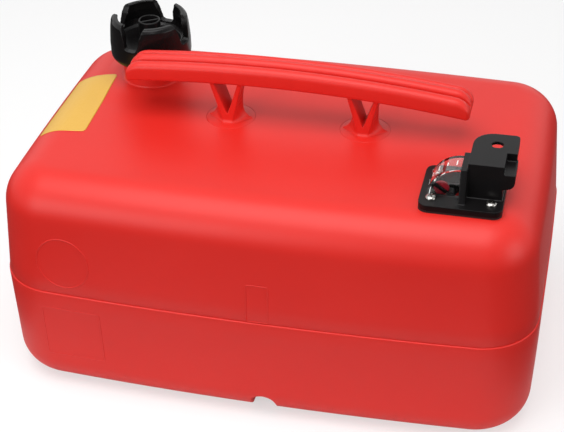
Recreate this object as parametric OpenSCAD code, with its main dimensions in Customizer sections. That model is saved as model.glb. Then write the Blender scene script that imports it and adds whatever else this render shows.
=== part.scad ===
// Portable outboard fuel tank: blow-moulded shell with a moulded-in carry handle,
// a crown-shaped vented filler cap, and a float gauge that shares its housing with
// the pickup tube and the hose connector.
// Millimetres. Origin at the middle of the base, on the surface it stands on.
// +X runs along the tank towards the gauge, +Y to the back, +Z up.

/* [Tank body] */
// Overall length
body_l = 490; // [440:5:600]
// Overall width at the middle of the long walls
body_w = 320; // [290:5:400]
// Height of the body, without cap and handle
body_h = 218; // [200:1:260]
// Wall thickness
wall = 4; // [3:0.5:5]
// Plan radius of the upright corners
corner_r = 54; // [50:1:66]
// Radius of the top edge
top_edge_r = 38; // [32:1:42]
// Radius of the bottom edge
bottom_edge_r = 32; // [24:1:38]
// Lean of the walls above the parting line, degrees
upper_draft = 4.3; // [3:0.1:5]
// Lean of the walls below the parting line, degrees
lower_draft = 1.3; // [0.5:0.1:3]
// Height of the parting line
parting_z = 111; // [90:1:130]
// Step at the parting line
parting_step = 0.8; // [0.4:0.1:1.5]
// Half of the angle that a long wall turns through in plan, degrees
side_turn = 3.3; // [1:0.1:4]
// Half of the angle that an end wall turns through in plan, degrees
end_turn = 1.4; // [0.5:0.1:3]

/* [Strap groove] */
// Place of the groove along the tank
groove_x = 7; // [-40:1:40]
// Half of the groove's width
groove_half = 11; // [8:1:16]
// Depth of the groove
groove_depth = 25; // [20:1:32]
// Radius of the groove's lips
groove_lip = 8; // [6:1:10]

/* [Filler neck] */
// Distance of the filler's centre from the left end
neck_from_end = 94; // [92:1:100]
// Distance of the filler's centre from the back
neck_from_back = 95; // [94:1:105]
// Radius of the raised pad round the neck
pad_r = 56; // [52:1:58]
// Height of the raised pad
pad_h = 2.5; // [2:0.5:4]
// Radius of the collar that the neck stands on
collar_r = 33; // [31:0.5:34]
// Height of the collar above the body
collar_h = 22; // [18:0.5:24]
// Outside radius of the neck
neck_r = 27; // [26:0.5:28]
// Bore radius of the neck
neck_bore = 22.5; // [20:0.5:24]
// Height of the threaded neck above its collar
neck_h = 10; // [8:0.5:12]

/* [Filler cap] */
// Largest radius of the crown
crown_r = 38.5; // [38:0.5:42]
// Radius over the tips of the lugs
crown_tip_r = 31.5; // [30:0.5:34]
// Height of the crown
crown_h = 42; // [40:1:46]
// Wall thickness of the crown
crown_wall = 5.4; // [4:0.2:6]
// Depth of the notches between the lugs
notch_depth = 22; // [16:1:26]
// Width of a notch at its floor
notch_floor = 12; // [8:1:14]
// Width of a notch at the tips
notch_mouth = 21; // [17:1:24]
// Direction of the first lug, degrees from +X
lug_turn = 33; // [0:1:89]
// Thickness of the sealing gasket
cap_gasket_t = 2; // [1.5:0.5:3]
// Thickness of the floating liner disc
liner_t = 2.5; // [2:0.5:3]
// Radial thickness of the threaded insert's skirt
insert_t = 3; // [2.5:0.25:3.5]

/* [Vent screw] */
// Radius of the vent screw's stem
vent_stem_r = 4.2; // [3.5:0.1:5]
// Radius of the vent knob
vent_knob_r = 10.5; // [9:0.5:12]
// Height of the vent knob
vent_knob_h = 15.5; // [11:0.5:16]
// Radial clearance of the stem in its hub
vent_fit = 0.07; // [0.05:0.01:0.1]

/* [Carry handle] */
// Place of the handle along the tank
handle_x = 6; // [-10:1:15]
// Gap between the grip's back and the filler cap's crown
grip_gap = 4.5; // [3:0.5:10]
// Length of the grip
grip_l = 316; // [280:2:330]
// Width of the grip
grip_w = 34; // [30:1:36]
// Height of the grip's section
grip_h = 20; // [17:1:24]
// Hand clearance under the middle of the grip
hand_clearance = 41; // [34:1:50]
// Radius of the grip's arch
arch_r = 1390; // [1000:10:2000]
// Distance between the two struts
strut_spacing = 126; // [110:2:140]
// Thickness of a strut's leg at the grip
leg_t = 3.4; // [3:0.2:5]
// Half of the distance between a strut's legs at the grip
leg_spread = 12; // [10:0.5:14]
// Radius of the disc that each strut stands on
foot_r = 22.8; // [21:0.2:25]
// Clearance round a foot disc in the shell
foot_gap = 0.1; // [0.05:0.05:0.2]

/* [Gauge housing] */
// Distance of the housing's middle from the right end
gauge_from_end = 75.5; // [75:0.5:85]
// Distance of the housing's middle from the front
gauge_from_front = 75; // [75:1:85]
// Length of the base plate
plate_l = 70; // [69:1:74]
// Width of the base plate
plate_w = 64; // [62:1:66]
// Thickness of the base plate
plate_t = 5.5; // [5:0.5:7]
// Radius of the plate's corners
plate_corner = 8; // [5:1:10]
// Thickness of the gasket under the plate
gasket_t = 1.5; // [1:0.5:2.5]
// Distance between the screws along the tank
screw_pitch_x = 50; // [49:1:52]
// Distance between the screws across the tank
screw_pitch_y = 40; // [39:1:44]
// Radius of the opening in the shell
opening_r = 25; // [24.5:0.5:25.5]
// Offset of the opening from the plate's middle, along the tank
opening_dx = 2.5; // [2:0.5:3]
// Height of the block above the plate
block_h = 32.5; // [30:0.5:36]
// Thickness of the latch tab
tab_t = 7.5; // [6:0.5:9]
// Radius of the hole in the latch tab
latch_r = 5; // [4:0.25:6]
// Screw radius
screw_r = 2.5; // [2:0.25:3]
// Radius of a screw's head
screw_head_r = 4.75; // [4.25:0.25:5.25]

/* [Gauge lens and float] */
// Outside radius of the lens drum
lens_r = 27; // [26.5:0.5:27.5]
// Width of the lens drum
lens_w = 23; // [22:0.5:24]
// Wall of the lens
lens_t = 2.2; // [1.5:0.1:2.4]
// Radius of the indicator disc
disc_r = 6.5; // [5:0.5:6.5]
// Length of the float arm beyond its drop to the tank's floor
arm_extra = 18.6; // [12:0.2:30]
// Radius of the float
float_r = 16; // [12:1:17]
// Length of the float
float_l = 34; // [26:1:36]
// Gap under the float when the tank is empty
floor_gap = 4.6; // [4:0.1:10]
// Gap above the float when the tank is full
roof_gap = 6.9; // [6:0.1:12]
// Radius of the arm's wire
wire_r = 1.2; // [1:0.1:1.4]

/* [Fuel outlet] */
// Radius of the hose nipple
nipple_r = 4.8; // [4:0.1:5]
// Length of the nipple outside the block
nipple_l = 24; // [20:1:26]
// Distance between nipple and guide pin
prong_pitch = 18; // [17:0.5:18.5]
// Radius of the guide pin
guide_r = 3; // [2.5:0.25:3.25]
// Outside radius of the pickup tube
pickup_r = 4; // [3.5:0.25:4.25]
// Gap between the strainer and the tank's floor
strainer_gap = 3; // [2:0.5:8]

/* [Hidden] */

// Fineness of round parts: small, large, and the long arch of the grip
small_fn = 48;
large_fn = 96;
arch_fn = 1440;
// Gap between a moving piece and its rest
rest_gap = 0.3;
// Radial clearance of a running pin
pin_gap = 0.05;
// Overlap of solids that are joined
bite = 0.5;

red = "crimson";
black = "dimgray";
steel = "silver";
brass = "goldenrod";
rubber = "black";

function arc(cx, cy, r, from, to, n) =
    [for (i = [0:n]) let (a = from + (to - from) * i / n) [cx + r * cos(a), cy + r * sin(a)]];

function rounded_rect(x0, y0, x1, y1, r) = concat(
    arc(x1 - r, y1 - r, r, 0, 90, 6),
    arc(x0 + r, y1 - r, r, 90, 180, 6),
    arc(x0 + r, y0 + r, r, 180, 270, 6),
    arc(x1 - r, y0 + r, r, 270, 360, 6));

// A tube or pin along Y, from one face to the other
module y_cylinder(r, from, to) {
    translate([0, from, 0]) rotate([-90, 0, 0]) cylinder(r = r, h = to - from, $fn = small_fn);
}

// An outline drawn in X and Z, drawn out along Y
module y_extrude(from, to) {
    translate([0, to, 0]) rotate([90, 0, 0]) linear_extrude(to - from) children();
}

// ---- Tank body: one wall profile carried round eight tangent arcs ----

half_l = body_l / 2;
half_w = body_w / 2;
// Plan radii of the long walls and the ends, so that all eight arcs meet in line
plan_x = half_l + corner_r * (sin(side_turn) - cos(end_turn));
plan_y = half_w + corner_r * (sin(end_turn) - cos(side_turn));
plan_det = sin(side_turn) * sin(end_turn) - (1 - cos(end_turn)) * (1 - cos(side_turn));
side_r = (plan_x * sin(end_turn) - plan_y * (1 - cos(end_turn))) / plan_det;
end_r = (plan_y * sin(side_turn) - plan_x * (1 - cos(side_turn))) / plan_det;
corner_x = (side_r - corner_r) * sin(side_turn);
corner_y = (end_r - corner_r) * sin(end_turn);
// Steps along a corner, a long wall, an end, and the bottom and top edges
corner_n = 10;
side_n = 8;
end_n = 4;
bottom_n = 7;
top_n = 9;
lip = 1.2;

// Inset of the edge arcs' centres from the plan outline
top_inset = parting_step + top_edge_r / cos(upper_draft)
    + (body_h - top_edge_r - parting_z) * tan(upper_draft);
bottom_inset = bottom_edge_r / cos(lower_draft) + (parting_z - bottom_edge_r) * tan(lower_draft);
// Inset of the wall above the parting line, at a height
function upper_inset(z) = parting_step + (z - parting_z) * tan(upper_draft);

function parting_points(t) = t > 0
    ? [[parting_step + t, parting_z]]
    : [[0, parting_z - lip], [lip / 3, parting_z - lip / 4],
       [parting_step + lip / 2, parting_z + lip / 4], [upper_inset(parting_z + lip), parting_z + lip]];

// Half section of the body as insets and heights, on a skin set in by t
function wall_profile(t) = concat(
    [for (k = [0:bottom_n]) let (a = (90 - lower_draft) * k / bottom_n, r = bottom_edge_r - t)
        [bottom_inset - r * sin(a), bottom_edge_r - r * cos(a)]],
    parting_points(t),
    [for (k = [0:top_n]) let (a = 90 - upper_draft - (90 - upper_draft) * k / top_n, r = top_edge_r - t)
        [top_inset - r * sin(a), body_h - top_edge_r + r * cos(a)]]);

// One plan arc, as [centre x, centre y, radius, direction]
function plan_arc(x, y, r, from, to, n) =
    [for (k = [0:n - 1]) [x, y, r, from + (to - from) * k / n]];

plan = concat(
    plan_arc(half_l - end_r, 0, end_r, -end_turn, end_turn, end_n),
    plan_arc(corner_x, corner_y, corner_r, end_turn, 90 - side_turn, corner_n),
    plan_arc(0, half_w - side_r, side_r, 90 - side_turn, 90 + side_turn, side_n),
    plan_arc(-corner_x, corner_y, corner_r, 90 + side_turn, 180 - end_turn, corner_n),
    plan_arc(end_r - half_l, 0, end_r, 180 - end_turn, 180 + end_turn, end_n),
    plan_arc(-corner_x, -corner_y, corner_r, 180 + end_turn, 270 - side_turn, corner_n),
    plan_arc(0, side_r - half_w, side_r, 270 - side_turn, 270 + side_turn, side_n),
    plan_arc(corner_x, -corner_y, corner_r, 270 + side_turn, 360 - end_turn, corner_n));

module body_form(t) {
    profile = wall_profile(t);
    m = len(plan);
    n = len(profile);
    points = [for (q = profile, p = plan)
        [p[0] + (p[2] - q[0]) * cos(p[3]), p[1] + (p[2] - q[0]) * sin(p[3]), q[1]]];
    bands = [for (i = [0:n - 2], k = [0:m - 1])
        [m * i + k, m * i + m + k, m * i + m + (k + 1) % m, m * i + (k + 1) % m]];
    polyhedron(points, concat(bands, [[for (k = [0:m - 1]) k]], [[for (k = [0:m - 1]) m * n - 1 - k]]));
}

// Tie-down groove across the base; t thickens it to the shell's inner side
module strap_groove(t) {
    half = groove_half + t;
    lip_r = groove_lip - t;
    outline = concat(
        arc(-half - lip_r, t + lip_r, lip_r, -90, 0, 5),
        arc(0, groove_depth - groove_half, half, 180, 0, 12),
        arc(half + lip_r, t + lip_r, lip_r, 180, 270, 5),
        [[half + lip_r, -1], [-half - lip_r, -1]]);
    translate([groove_x, 0, 0]) y_extrude(-half_w - 1, half_w + 1) polygon(outline);
}

neck_x = neck_from_end - half_l;
neck_y = half_w - neck_from_back;
handle_y = neck_y - crown_r - grip_gap - grip_w / 2;
collar_top = body_h + collar_h;
neck_top = collar_top + neck_h;
// Width of the pad's soft edge, radius of the fillet at the foot of the collar,
// and flare of the bore's inner end
pad_edge = 12;
collar_fillet = 9;
bore_flare = 5.5;

// Soft step from one radius and height to another
function soft_step(r0, z0, r1, z1, n) =
    [for (i = [0:n]) let (s = i / n) [r0 + (r1 - r0) * s, z0 + (z1 - z0) * s * s * (3 - 2 * s)]];

module at_neck() {
    translate([neck_x, neck_y, 0]) children();
}

module neck_solid() {
    at_neck() rotate_extrude($fn = large_fn)
        polygon(concat(
            [[0, body_h - wall], [pad_r + pad_edge, body_h - wall]],
            soft_step(pad_r, body_h, pad_r - pad_edge, body_h + pad_h, 6),
            arc(collar_r + collar_fillet, body_h + pad_h + collar_fillet, collar_fillet, 270, 180, 6),
            [[collar_r, collar_top - 1.5], [collar_r - 1.5, collar_top], [neck_r, collar_top],
             [neck_r, neck_top - 1], [neck_r - 1, neck_top], [0, neck_top]]));
}

// Follows the pad and the collar from inside: a recess, a flare and the bore
module neck_hollow() {
    recess_r = collar_r + 2;
    at_neck() rotate_extrude($fn = large_fn)
        polygon([[0, body_h - wall - 1], [recess_r, body_h - wall - 1], [recess_r, body_h - wall + pad_h],
                 [neck_bore + bore_flare, body_h - wall + pad_h],
                 [neck_bore, body_h - wall + pad_h + bore_flare], [neck_bore, neck_top + 1], [0, neck_top + 1]]);
}

strut_places = [-strut_spacing / 2, strut_spacing / 2];
gauge_x = half_l - gauge_from_end;
gauge_y = gauge_from_front - half_w;
screw_places = [for (i = [-1, 1], j = [-1, 1])
    [gauge_x + i * screw_pitch_x / 2, gauge_y + j * screw_pitch_y / 2]];
opening_x = gauge_x + opening_dx;
nut_r = screw_r + 1.1;
nut_l = 10;
nut_cover = 3;

module tank_shell() color(red) {
    difference() {
        union() {
            body_form(0);
            neck_solid();
        }
        difference() {
            body_form(wall);
            strap_groove(wall);
            for (p = screw_places)
                translate([p[0], p[1], body_h - nut_l - 1])
                    cylinder(r = nut_r + nut_cover, h = nut_l, $fn = small_fn);
        }
        strap_groove(0);
        neck_hollow();
        translate([opening_x, gauge_y, body_h - 2 * wall - 5])
            cylinder(r = opening_r, h = 2 * wall + 10, $fn = large_fn);
        for (p = screw_places)
            translate([p[0], p[1], body_h - nut_l])
                cylinder(r = nut_r, h = nut_l + 1, $fn = small_fn);
        for (s = strut_places)
            translate([handle_x + s, handle_y, body_h - wall - 1])
                cylinder(r = foot_r + foot_gap, h = wall + 2, $fn = large_fn);
    }
}

// ---- Carry handle ----

grip_z = body_h + hand_clearance;
arch_z = grip_z - arch_r;
// Lobes along the top of the grip: place across it, radius, drop of the crest
lobes = [[-grip_w / 2 + 6, 6, 0], [2.2, 4.6, 0.6], [grip_w / 2 - 4, 4, 1.4]];

function lobe_arc(lobe) = arc(lobe[0], arch_r + grip_h - lobe[2] - lobe[1], lobe[1], 180, 0, 8);

// Section of the grip: across it, and out from the arch's centre
function grip_section() = concat(
    [[-grip_w / 2, arch_r + 3], [-grip_w / 2 + 3, arch_r], [grip_w / 2 - 3, arch_r], [grip_w / 2, arch_r + 3]],
    [for (i = [2:-1:0], p = [for (k = [8:-1:0]) lobe_arc(lobes[i])[k]]) p]);

// Radii of the grip's ends, seen from the side
end_top_r = 16;
end_low_r = 4;
function end_corner(r, reach) = sqrt(pow(reach, 2) - pow(grip_l / 2 - r, 2));
function grip_end() =
    let (top_z = end_corner(end_top_r, arch_r + grip_h - end_top_r),
         low_z = end_corner(end_low_r, arch_r + end_low_r),
         tilt = atan2(grip_l / 2 - end_top_r, top_z))
    concat(
        [[grip_l / 2 - end_low_r, low_z - end_low_r - 3]],
        arc(grip_l / 2 - end_low_r, low_z, end_low_r, -90 - tilt, 0, 4),
        arc(grip_l / 2 - end_top_r, top_z, end_top_r, 0, 90 - tilt, 8),
        [[grip_l / 2 - end_top_r + 2, top_z + end_top_r + 12]]);

module grip() {
    turn = asin((grip_l / 2 + 4) / arch_r);
    right = grip_end();
    outline = concat(right, [for (i = [len(right) - 1:-1:0]) [-right[i][0], right[i][1]]]);
    translate([0, 0, arch_z]) intersection() {
        rotate([90, 0, 0]) rotate([0, 0, 90 - turn])
            rotate_extrude(angle = 2 * turn, $fn = arch_fn)
                polygon([for (p = grip_section()) [p[1], -p[0]]]);
        y_extrude(-grip_w, grip_w) polygon(outline);
    }
}

// Half of the width over a strut's legs where they meet the disc, and their depth
leg_foot = 9.2;
leg_depth = grip_w - 5;
// Fillets that spread the legs to points at the sides, and wide at the front and back
side_fillet = 11.5;
front_fillet = 7.5;
fillet_edge = 0.8;
crotch = 7;

// Upright fillet beside a face, in the plane it is drawn in
function fillet(face, r) = concat(
    [[0, -bite], [0, r + fillet_edge], [face, r + fillet_edge]],
    arc(face + r, r + fillet_edge, r, 180, 270, 7),
    [[face + r, -bite]]);

module strut() {
    top = hand_clearance + bite + 4;
    legs = [[0, crotch], [leg_spread - leg_t / 2, top], [leg_spread + leg_t / 2, top],
            [leg_foot, side_fillet + fillet_edge], [leg_foot, -bite]];
    y = leg_depth / 2;
    tip = leg_foot + side_fillet;
    translate([0, 0, body_h]) {
        y_extrude(-y, y)
            polygon(concat(legs, [for (i = [len(legs) - 1:-1:1]) [-legs[i][0], legs[i][1]]]));
        for (m = [0, 1]) mirror([m, 0, 0]) intersection() {
            y_extrude(-y, y) polygon(fillet(leg_foot, side_fillet));
            translate([0, 0, -bite]) linear_extrude(top)
                polygon([[0, -y], [leg_foot, -y], [tip, -1], [tip, 1], [leg_foot, y], [0, y]]);
        }
        for (m = [0, 1]) mirror([0, m, 0]) intersection() {
            rotate([0, 0, 90]) y_extrude(-foot_r, foot_r) polygon(fillet(y, front_fillet));
            translate([0, 0, -bite]) linear_extrude(top)
                polygon([[-leg_foot, 0], [leg_foot, 0], [leg_foot, y - 2], [leg_foot + 5, foot_r],
                         [-leg_foot - 5, foot_r], [-leg_foot, y - 2]]);
            cylinder(r = foot_r, h = 2 * top, center = true, $fn = large_fn);
        }
    }
    foot_flange = 3;
    translate([0, 0, body_h - wall]) cylinder(r = foot_r, h = wall, $fn = large_fn);
    translate([0, 0, body_h - wall - foot_flange]) cylinder(r = foot_r + 4, h = foot_flange, $fn = large_fn);
}

module carry_handle() color(red) {
    translate([handle_x, handle_y, 0]) {
        grip();
        for (s = strut_places)
            translate([s, 0, 0]) strut();
    }
}

// ---- Filler cap ----

// Underside of the crown's deck, which bears on the liner and carries the vent screw's seat
deck_z = neck_top + cap_gasket_t + liner_t + rest_gap * 2;
deck_t = 3;
seat_t = 1.5;
insert_gap = 0.4;
insert_r = neck_r + insert_gap + insert_t;
crown_z = collar_top + 2;
crown_top = crown_z + crown_h;
belly_z = crown_z + 18;
rim_r = 6.5;
lug_lean = 4.2;
hub_r = vent_stem_r + 3.2;
hub_top = deck_z + deck_t + 5;
seal_t = 1.6;
seal_z = deck_z + seat_t + rest_gap;
vent_hole_r = 2;

module crown_ring() {
    inner = crown_r - crown_wall;
    deck_top = deck_z + deck_t;
    rotate_extrude($fn = large_fn) polygon(concat(
        [[vent_hole_r, deck_z], [insert_r, deck_z], [insert_r, crown_z + 1], [insert_r + 0.5, crown_z]],
        arc(crown_r - rim_r, crown_z + rim_r, rim_r, -90, 0, 7),
        [[crown_r, belly_z], [crown_r - 0.5, belly_z + 7], [crown_r - 1.8, belly_z + 15],
         [crown_tip_r + 2, crown_top - 3.2], [crown_tip_r, crown_top - 0.7], [crown_tip_r - 1, crown_top]],
        [[crown_tip_r - lug_lean, crown_top], [crown_tip_r - lug_lean - 0.7, crown_top - 1]],
        [[inner, deck_top + 8], [inner - 1.2, deck_top + 2], [inner - 4, deck_top]],
        [[hub_r, deck_top], [hub_r, hub_top], [vent_stem_r + vent_fit, hub_top]],
        [[vent_stem_r + vent_fit, deck_z + seat_t], [vent_hole_r, deck_z + seat_t]]));
}

module crown_notch() {
    floor_z = crown_top - notch_depth;
    over = 3;
    spread = (notch_mouth - notch_floor) / 2 * (notch_depth + over) / notch_depth;
    rotate([0, 0, 90]) y_extrude(-crown_r - 5, -vent_knob_r - 3)
        polygon([[-notch_floor / 2 + 2, floor_z], [notch_floor / 2 - 2, floor_z],
                 [notch_floor / 2 + 0.3, floor_z + 1.6],
                 [notch_floor / 2 + spread, crown_top + over],
                 [-notch_floor / 2 - spread, crown_top + over],
                 [-notch_floor / 2 - 0.3, floor_z + 1.6]]);
}

module cap_crown() color(black) at_neck() {
    difference() {
        crown_ring();
        for (i = [0:3])
            rotate([0, 0, lug_turn + 45 + 90 * i]) crown_notch();
    }
}

module cap_insert() color(black) at_neck() {
    translate([0, 0, collar_top + 1]) difference() {
        cylinder(r = insert_r, h = deck_z - collar_top - 1, $fn = large_fn);
        translate([0, 0, -1]) cylinder(r = insert_r - insert_t, h = deck_z, $fn = large_fn);
    }
}

module cap_liner() color("gainsboro") at_neck() {
    translate([0, 0, neck_top + cap_gasket_t + rest_gap]) difference() {
        cylinder(r = neck_r, h = liner_t, $fn = large_fn);
        translate([0, 0, -1]) cylinder(r = vent_hole_r + 0.5, h = liner_t + 2, $fn = small_fn);
    }
}

module cap_gasket() color(rubber) at_neck() {
    translate([0, 0, neck_top]) difference() {
        cylinder(r = neck_r - 1, h = cap_gasket_t, $fn = large_fn);
        translate([0, 0, -1]) cylinder(r = neck_bore + 0.5, h = cap_gasket_t + 2, $fn = large_fn);
    }
}

module vent_seal() color(rubber) at_neck() {
    translate([0, 0, seal_z]) cylinder(r = vent_stem_r - 0.3, h = seal_t, $fn = small_fn);
}

knob_z = hub_top + 0.3;
knob_wall = 1.8;
module vent_knob() color(black) at_neck() {
    stem_z = seal_z + seal_t + rest_gap;
    rotate_extrude($fn = large_fn) polygon([
        [0, stem_z], [vent_stem_r - 0.5, stem_z], [vent_stem_r, stem_z + 0.5], [vent_stem_r, knob_z],
        [vent_knob_r - 1, knob_z], [vent_knob_r, knob_z + 1],
        [vent_knob_r, knob_z + vent_knob_h - 0.6], [vent_knob_r - 0.6, knob_z + vent_knob_h],
        [vent_knob_r - knob_wall, knob_z + vent_knob_h], [vent_knob_r - knob_wall, knob_z + 3], [0, knob_z + 3]]);
    web = vent_knob_r - knob_wall + 0.6;
    rotate([0, 0, lug_turn])
        translate([-web, -0.9, knob_z + 3 - bite]) cube([2 * web, 1.8, vent_knob_h - 4 + bite]);
}

// ---- Gauge housing ----

plate_z = body_h + gasket_t;
plate_top = plate_z + plate_t;
block_top = plate_top + block_h;
// The housing's own places, measured from the middle of the plate
fin_x0 = -2;
fin_x1 = 3.5;
block_x1 = 33;
block_y0 = -13;
block_y1 = 13;
wing_x1 = 42.5;
tab_y1 = 39.7;
latch_x = 23.9;
latch_y = 22;
lens_y0 = -15;
pivot_dx = -10;
pivot_x = gauge_x + pivot_dx;
pivot_z = plate_top - 4;
arm_y = gauge_y + lens_y0 + lens_w / 2;
prong_z = plate_top + 18;
nipple_x = gauge_x + latch_x + prong_pitch / 2;
guide_x = gauge_x + latch_x - prong_pitch / 2;
prong_y = gauge_y + block_y1;
pickup_x = gauge_x + 16.5;
shaft_r = 1.5;

module at_gauge() {
    translate([gauge_x, gauge_y, 0]) children();
}

module plate_outline(z, t) {
    at_gauge() translate([0, 0, z]) linear_extrude(t)
        polygon(rounded_rect(-plate_l / 2, -plate_w / 2, plate_l / 2, plate_w / 2, plate_corner));
}

module screw_holes(r, z, t) {
    for (p = screw_places)
        translate([p[0], p[1], z]) cylinder(r = r, h = t, $fn = small_fn);
}

module connector_block() {
    tab_z = block_top - tab_t;
    tab_corner = 18;
    at_gauge() {
        // Upright block and the low wing beside it
        translate([fin_x1 - bite, block_y0, plate_top - bite])
            cube([block_x1 - fin_x1 + bite, block_y1 - block_y0, block_h + bite]);
        y_extrude(block_y0, block_y1) polygon(concat(
            [[block_x1 - bite, tab_z + 0.2], [block_x1 - bite, tab_z - 14]],
            arc(wing_x1 - 7, tab_z - 7, 7, -90, 0, 6),
            [[wing_x1, tab_z + 0.2]]));
        // Latch tab over the hose prongs
        translate([0, 0, tab_z]) linear_extrude(tab_t) polygon(concat(
            [[fin_x1, block_y1 - 3], [wing_x1 - 1, block_y1 - 3]],
            arc(wing_x1 - 5, tab_y1 - 4, 4, 0, 90, 5),
            arc(fin_x1 + tab_corner, tab_y1 - tab_corner, tab_corner, 90, 180, 8)));
        // Wall beside the lens, and its sloping fin
        translate([fin_x0, block_y0, plate_top - bite])
            cube([fin_x1 - fin_x0, block_y1 - block_y0, block_h + bite]);
        translate([fin_x0, 0, 0]) rotate([0, 0, 90]) y_extrude(fin_x0 - fin_x1, 0)
            polygon([[block_y0 + bite, plate_top - bite], [block_y0 - 12, plate_top - bite],
                     [block_y0 - 12, plate_top + 1], [block_y0 - 1.5, block_top - 1],
                     [block_y0 - 0.5, block_top], [block_y0 + bite, block_top]]);
    }
}

spigot_l = 8;
spigot_t = 3;
ear_t = 2.6;
ear_gap = 5;
module pivot_ears() {
    for (s = [-1, 1])
        translate([pivot_x, arm_y + s * (ear_gap + ear_t / 2), 0])
            y_extrude(-ear_t / 2, ear_t / 2)
                polygon(concat([[-4.5, plate_z - 1], [4.5, plate_z - 1]],
                               arc(0, pivot_z + 1.5, 4.5, 0, 180, 10)));
}

slot_x0 = -27;
slot_x1 = 7;
module gauge_housing() color(black) {
    difference() {
        union() {
            plate_outline(plate_z, plate_t);
            connector_block();
            translate([opening_x, gauge_y, plate_z - spigot_l])
                cylinder(r = opening_r - 0.5, h = spigot_l + bite, $fn = large_fn);
        }
        translate([opening_x, gauge_y, plate_z - spigot_l - 1])
            cylinder(r = opening_r - 0.5 - spigot_t, h = spigot_l + 1, $fn = large_fn);
        // Slot for the pointer and the float arm
        translate([gauge_x + slot_x0, arm_y - ear_gap - ear_t, plate_z - 1])
            cube([slot_x1 - slot_x0, 2 * (ear_gap + ear_t), plate_t + 1]);
        screw_holes(screw_r + 0.3, plate_z - 1, plate_t + 2);
        translate([gauge_x + latch_x, gauge_y + latch_y, block_top - tab_t - 1])
            cylinder(r = latch_r, h = tab_t + 2, $fn = small_fn);
        fuel_passages();
    }
    difference() {
        pivot_ears();
        translate([pivot_x, arm_y, pivot_z]) y_cylinder(shaft_r, -10, 10);
    }
}

// Seats of the pickup tube, the guide pin and the nipple, and the drillings that join them
pickup_seat = 12;
guide_root_r = guide_r - 0.6;
root_l = 8;
valve_chamber_r = 3.6;
passage_r = 2.5;
chamber_y0 = prong_y - 17;
module fuel_passages() {
    translate([pickup_x, gauge_y, plate_z - 1]) {
        cylinder(r = pickup_r, h = plate_t + pickup_seat + 1, $fn = small_fn);
        cylinder(r = passage_r, h = prong_z - plate_z + 1 + passage_r, $fn = small_fn);
    }
    translate([pickup_x, gauge_y, prong_z]) rotate([0, 90, 0])
        cylinder(r = passage_r, h = nipple_x - pickup_x, $fn = small_fn);
    translate([nipple_x, prong_y, prong_z]) y_cylinder(valve_chamber_r, chamber_y0 - prong_y, 1);
    translate([guide_x, prong_y, prong_z]) y_cylinder(guide_root_r, -root_l, 1);
}

module gauge_gasket() color(rubber) {
    difference() {
        plate_outline(body_h, gasket_t);
        translate([opening_x, gauge_y, body_h - 1]) cylinder(r = opening_r, h = gasket_t + 2, $fn = large_fn);
        screw_holes(screw_r + 0.3, body_h - 1, gasket_t + 2);
    }
}

// Quarter drum, open below and towards the wall
module quarter_drum(r, from, to, x1, z0) {
    intersection() {
        y_cylinder(r, from, to);
        translate([-r - 1, from - 1, z0]) cube([r + 1 + x1, to - from + 2, r + 1 - z0]);
    }
}

module gauge_lens() color("lightblue", 0.5) {
    translate([gauge_x + fin_x0, gauge_y + lens_y0, plate_top]) difference() {
        quarter_drum(lens_r, 0, lens_w, 0, 0);
        quarter_drum(lens_r - lens_t, lens_t, lens_w - lens_t, 1, -1);
    }
}

head_h = 3.2;
screw_l = plate_t + gasket_t + 8;
module gauge_screws() color(steel) {
    for (p = screw_places)
        translate([p[0], p[1], plate_top]) rotate_extrude($fn = small_fn)
            polygon(concat([[0, -screw_l], [screw_r, -screw_l], [screw_r, 0], [screw_head_r, 0]],
                           [for (i = [0:5]) [screw_head_r * cos(i * 15), 1 + (head_h - 1) * sin(i * 15)]],
                           [[0, head_h]]));
}

module screw_inserts() color(brass) {
    for (p = screw_places)
        translate([p[0], p[1], body_h - nut_l]) difference() {
            cylinder(r = nut_r, h = nut_l, $fn = small_fn);
            translate([0, 0, 1]) cylinder(r = screw_r, h = nut_l, $fn = small_fn);
        }
}

// ---- Float gauge, drawn with the float at its lowest ----

function on_arm(a, r) = [pivot_x + r * cos(a), pivot_z + r * sin(a)];
// Drop of the float and reach of its arm, with the tank empty
float_drop = pivot_z - wall - floor_gap - float_r;
float_reach = float_drop + arm_extra;
// Angles of the float arm below level, with the tank empty and full
float_low = asin(float_drop / float_reach);
float_high = asin((pivot_z - body_h + wall + roof_gap + float_r) / float_reach);
swing = float_low - float_high;
crank_a = 270 + swing / 2;
crank_l = 30;
needle_a = 145;
needle_l = 17.5;
disc_reach = 10;
crank_p = on_arm(crank_a, crank_l);
float_p = on_arm(180 + float_low, float_reach);
float_y0 = arm_y + 2.5;

// A round rod between two points of the arm's plane
module plane_rod(p, q, r) {
    run = [q[0] - p[0], q[1] - p[1]];
    translate([p[0], arm_y, p[1]])
        rotate([0, 90 - atan2(run[1], run[0]), 0])
            cylinder(r = r, h = norm(run), $fn = small_fn);
}

module gauge_pointer() color(rubber) {
    difference() {
        union() {
            translate([pivot_x, arm_y, pivot_z]) y_cylinder(4, -3.5, 3.5);
            plane_rod([pivot_x, pivot_z], on_arm(crank_a, 10), 2.8);
            translate([pivot_x, arm_y, pivot_z]) rotate([0, -needle_a, 0])
                translate([1, -3.4, -1.3]) cube([needle_l - 1, 2, 2.6]);
        }
        translate([pivot_x, arm_y, pivot_z]) y_cylinder(shaft_r + pin_gap, -5, 5);
        plane_rod(on_arm(crank_a, shaft_r + 1.5), on_arm(crank_a, 12), wire_r);
    }
}

module pointer_disc() color("red") {
    centre = on_arm(needle_a, disc_reach);
    translate([centre[0], arm_y, centre[1]]) difference() {
        y_cylinder(disc_r, -1.4, 0.2);
        translate([pivot_x - centre[0], 0, pivot_z - centre[1]]) y_cylinder(4, -2, 2);
    }
}

module pointer_shaft() color(steel) {
    translate([pivot_x, arm_y, pivot_z]) y_cylinder(shaft_r, -ear_gap - ear_t, ear_gap + ear_t);
}

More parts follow.
